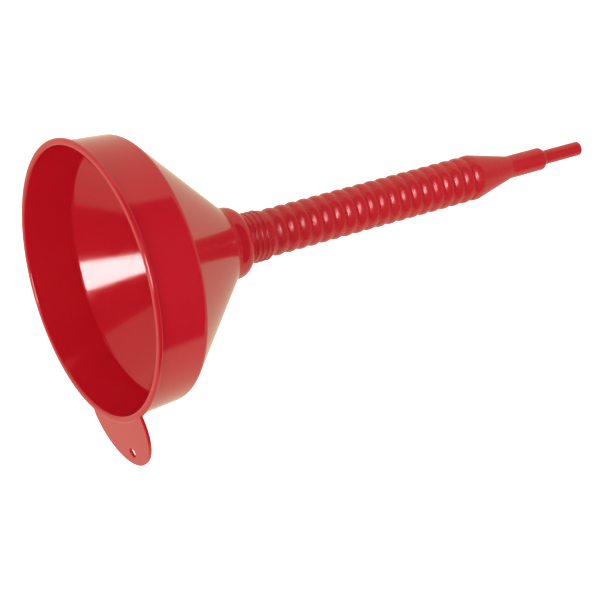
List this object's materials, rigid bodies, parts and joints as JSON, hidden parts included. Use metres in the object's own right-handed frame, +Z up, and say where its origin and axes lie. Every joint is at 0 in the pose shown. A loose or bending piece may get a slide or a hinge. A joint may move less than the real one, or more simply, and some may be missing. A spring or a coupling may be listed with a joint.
{
  "type": "flexible spout funnel",
  "caption": "Wide conical funnel with an upright rim band, a hanging tab, a lift-out gauze filter and a bendable corrugated spout with a stepped nozzle.",
  "frame": {"origin": "on the funnel's axis where the cone meets the collar, the centre of the can opening that the funnel sits in", "axes": "+Z up to the mouth along the funnel's axis, +X to the hanging tab"},
  "size_m": [0.2155, 0.185, 0.411],
  "materials": {
    "moulded_polyethylene": "semi-gloss injection moulded polyethylene",
    "blow_moulded_polyethylene": "semi-gloss blow moulded polyethylene",
    "filter_frame_polyethylene": "semi-gloss injection moulded polyethylene",
    "woven_brass_gauze": "bright woven wire"
  },
  "bodies": {
    "bowl": {"bowl": "moulded_polyethylene"},
    "filter": {"filter_frame": "filter_frame_polyethylene", "filter_gauze": "woven_brass_gauze"},
    "cuff": {"spout_cuff": "blow_moulded_polyethylene"},
    "rib_01": {"spout_rib_01": "blow_moulded_polyethylene"},
    "rib_02": {"spout_rib_02": "blow_moulded_polyethylene"},
    "rib_03": {"spout_rib_03": "blow_moulded_polyethylene"},
    "rib_04": {"spout_rib_04": "blow_moulded_polyethylene"},
    "rib_05": {"spout_rib_05": "blow_moulded_polyethylene"},
    "rib_06": {"spout_rib_06": "blow_moulded_polyethylene"},
    "rib_07": {"spout_rib_07": "blow_moulded_polyethylene"},
    "rib_08": {"spout_rib_08": "blow_moulded_polyethylene"},
    "rib_09": {"spout_rib_09": "blow_moulded_polyethylene"},
    "rib_10": {"spout_rib_10": "blow_moulded_polyethylene"},
    "rib_11": {"spout_rib_11": "blow_moulded_polyethylene"},
    "rib_12": {"spout_rib_12": "blow_moulded_polyethylene"},
    "rib_13": {"spout_rib_13": "blow_moulded_polyethylene"},
    "rib_14": {"spout_rib_14": "blow_moulded_polyethylene"},
    "rib_15": {"spout_rib_15": "blow_moulded_polyethylene"},
    "rib_16": {"spout_rib_16": "blow_moulded_polyethylene"},
    "rib_17": {"spout_rib_17": "blow_moulded_polyethylene"},
    "rib_18": {"spout_rib_18": "blow_moulded_polyethylene"},
    "nozzle": {"spout_nozzle": "blow_moulded_polyethylene"}
  },
  "joints": [
    {"name": "filter_lift", "type": "slide", "parent": "bowl", "child": "filter", "axis": [0, 0, 1], "range_m": [0, 0.13]},
    {"name": "spout_turn", "type": "hinge", "parent": "bowl", "child": "cuff", "pos_m": [0, 0, -0.022], "axis": [0, 0, -1], "range_deg": [0, 180]},
    {"name": "spout_bend_01", "type": "hinge", "parent": "cuff", "child": "rib_01", "pos_m": [0, 0, -0.03445], "axis": [0, 1, 0], "range_deg": [-4.75, 4.75], "stiffness_Nm_per_rad": 2},
    {"name": "spout_bend_02", "type": "hinge", "parent": "rib_01", "child": "rib_02", "pos_m": [0, 0, -0.04375], "axis": [0, 1, 0], "range_deg": [-4.75, 4.75], "stiffness_Nm_per_rad": 2},
    {"name": "spout_bend_03", "type": "hinge", "parent": "rib_02", "child": "rib_03", "pos_m": [0, 0, -0.05305], "axis": [0, 1, 0], "range_deg": [-4.75, 4.75], "stiffness_Nm_per_rad": 2},
    {"name": "spout_bend_04", "type": "hinge", "parent": "rib_03", "child": "rib_04", "pos_m": [0, 0, -0.06235], "axis": [0, 1, 0], "range_deg": [-4.75, 4.75], "stiffness_Nm_per_rad": 2},
    {"name": "spout_bend_05", "type": "hinge", "parent": "rib_04", "child": "rib_05", "pos_m": [0, 0, -0.07165], "axis": [0, 1, 0], "range_deg": [-4.75, 4.75], "stiffness_Nm_per_rad": 2},
    {"name": "spout_bend_06", "type": "hinge", "parent": "rib_05", "child": "rib_06", "pos_m": [0, 0, -0.08095], "axis": [0, 1, 0], "range_deg": [-4.75, 4.75], "stiffness_Nm_per_rad": 2},
    {"name": "spout_bend_07", "type": "hinge", "parent": "rib_06", "child": "rib_07", "pos_m": [0, 0, -0.09025], "axis": [0, 1, 0], "range_deg": [-4.75, 4.75], "stiffness_Nm_per_rad": 2},
    {"name": "spout_bend_08", "type": "hinge", "parent": "rib_07", "child": "rib_08", "pos_m": [0, 0, -0.09955], "axis": [0, 1, 0], "range_deg": [-4.75, 4.75], "stiffness_Nm_per_rad": 2},
    {"name": "spout_bend_09", "type": "hinge", "parent": "rib_08", "child": "rib_09", "pos_m": [0, 0, -0.10885], "axis": [0, 1, 0], "range_deg": [-4.75, 4.75], "stiffness_Nm_per_rad": 2},
    {"name": "spout_bend_10", "type": "hinge", "parent": "rib_09", "child": "rib_10", "pos_m": [0, 0, -0.11815], "axis": [0, 1, 0], "range_deg": [-4.75, 4.75], "stiffness_Nm_per_rad": 2},
    {"name": "spout_bend_11", "type": "hinge", "parent": "rib_10", "child": "rib_11", "pos_m": [0, 0, -0.12745], "axis": [0, 1, 0], "range_deg": [-4.75, 4.75], "stiffness_Nm_per_rad": 2},
    {"name": "spout_bend_12", "type": "hinge", "parent": "rib_11", "child": "rib_12", "pos_m": [0, 0, -0.13675], "axis": [0, 1, 0], "range_deg": [-4.75, 4.75], "stiffness_Nm_per_rad": 2},
    {"name": "spout_bend_13", "type": "hinge", "parent": "rib_12", "child": "rib_13", "pos_m": [0, 0, -0.14605], "axis": [0, 1, 0], "range_deg": [-4.75, 4.75], "stiffness_Nm_per_rad": 2},
    {"name": "spout_bend_14", "type": "hinge", "parent": "rib_13", "child": "rib_14", "pos_m": [0, 0, -0.15535], "axis": [0, 1, 0], "range_deg": [-4.75, 4.75], "stiffness_Nm_per_rad": 2},
    {"name": "spout_bend_15", "type": "hinge", "parent": "rib_14", "child": "rib_15", "pos_m": [0, 0, -0.16465], "axis": [0, 1, 0], "range_deg": [-4.75, 4.75], "stiffness_Nm_per_rad": 2},
    {"name": "spout_bend_16", "type": "hinge", "parent": "rib_15", "child": "rib_16", "pos_m": [0, 0, -0.17395], "axis": [0, 1, 0], "range_deg": [-4.75, 4.75], "stiffness_Nm_per_rad": 2},
    {"name": "spout_bend_17", "type": "hinge", "parent": "rib_16", "child": "rib_17", "pos_m": [0, 0, -0.18325], "axis": [0, 1, 0], "range_deg": [-4.75, 4.75], "stiffness_Nm_per_rad": 2},
    {"name": "spout_bend_18", "type": "hinge", "parent": "rib_17", "child": "rib_18", "pos_m": [0, 0, -0.19255], "axis": [0, 1, 0], "range_deg": [-4.75, 4.75], "stiffness_Nm_per_rad": 2},
    {"name": "spout_bend_19", "type": "hinge", "parent": "rib_18", "child": "nozzle", "pos_m": [0, 0, -0.20185], "axis": [0, 1, 0], "range_deg": [-4.75, 4.75], "stiffness_Nm_per_rad": 2}
  ],
  "couplings": [
    {"joint": "spout_bend_02", "follows": "spout_bend_01", "ratio": 1},
    {"joint": "spout_bend_03", "follows": "spout_bend_01", "ratio": 1},
    {"joint": "spout_bend_04", "follows": "spout_bend_01", "ratio": 1},
    {"joint": "spout_bend_05", "follows": "spout_bend_01", "ratio": 1},
    {"joint": "spout_bend_06", "follows": "spout_bend_01", "ratio": 1},
    {"joint": "spout_bend_07", "follows": "spout_bend_01", "ratio": 1},
    {"joint": "spout_bend_08", "follows": "spout_bend_01", "ratio": 1},
    {"joint": "spout_bend_09", "follows": "spout_bend_01", "ratio": 1},
    {"joint": "spout_bend_10", "follows": "spout_bend_01", "ratio": 1},
    {"joint": "spout_bend_11", "follows": "spout_bend_01", "ratio": 1},
    {"joint": "spout_bend_12", "follows": "spout_bend_01", "ratio": 1},
    {"joint": "spout_bend_13", "follows": "spout_bend_01", "ratio": 1},
    {"joint": "spout_bend_14", "follows": "spout_bend_01", "ratio": 1},
    {"joint": "spout_bend_15", "follows": "spout_bend_01", "ratio": 1},
    {"joint": "spout_bend_16", "follows": "spout_bend_01", "ratio": 1},
    {"joint": "spout_bend_17", "follows": "spout_bend_01", "ratio": 1},
    {"joint": "spout_bend_18", "follows": "spout_bend_01", "ratio": 1},
    {"joint": "spout_bend_19", "follows": "spout_bend_01", "ratio": 1}
  ]
}
